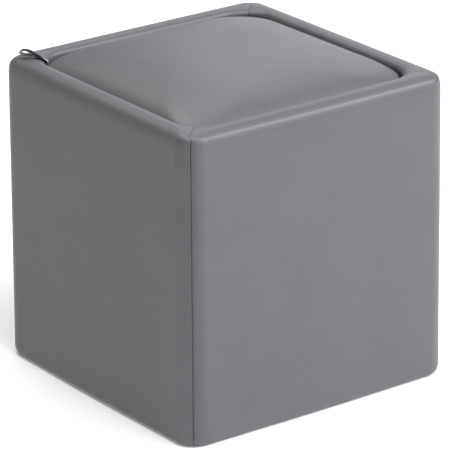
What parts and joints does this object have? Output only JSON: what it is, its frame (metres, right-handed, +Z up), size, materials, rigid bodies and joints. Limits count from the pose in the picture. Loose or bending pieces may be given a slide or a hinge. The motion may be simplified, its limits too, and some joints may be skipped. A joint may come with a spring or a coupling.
{
  "type": "cube pouf stool with a lift-off lid",
  "caption": "Square padded pouf stool: upright padded walls, a crowned lid that lifts off a storage hollow, and a looped ribbon pull at the lid's corner.",
  "frame": {"origin": "middle of the footprint, on the floor", "axes": "+Z up; the front wall faces -Y, the left wall -X; the ribbon is at the corner between the left and back walls"},
  "size_m": [0.407, 0.407, 0.4205],
  "materials": {
    "cover": "fine-grained faux leather, satin",
    "board": "board wrapped in dark lining cloth",
    "ribbon": "woven ribbon with a pale line down its middle"
  },
  "bodies": {
    "box": {"wall_front": "cover", "wall_right": "cover", "wall_back": "cover", "wall_left": "cover", "base_panel": "board", "lid_rest_front": "board", "lid_rest_back": "board", "lid_rest_left": "board", "lid_rest_right": "board"},
    "lid": {"lid_cushion": "cover", "pull_ribbon": "ribbon"}
  },
  "joints": [
    {"name": "lid_lift", "type": "slide", "parent": "box", "child": "lid", "axis": [0, 0, 1], "range_m": [0, 0.35]}
  ]
}
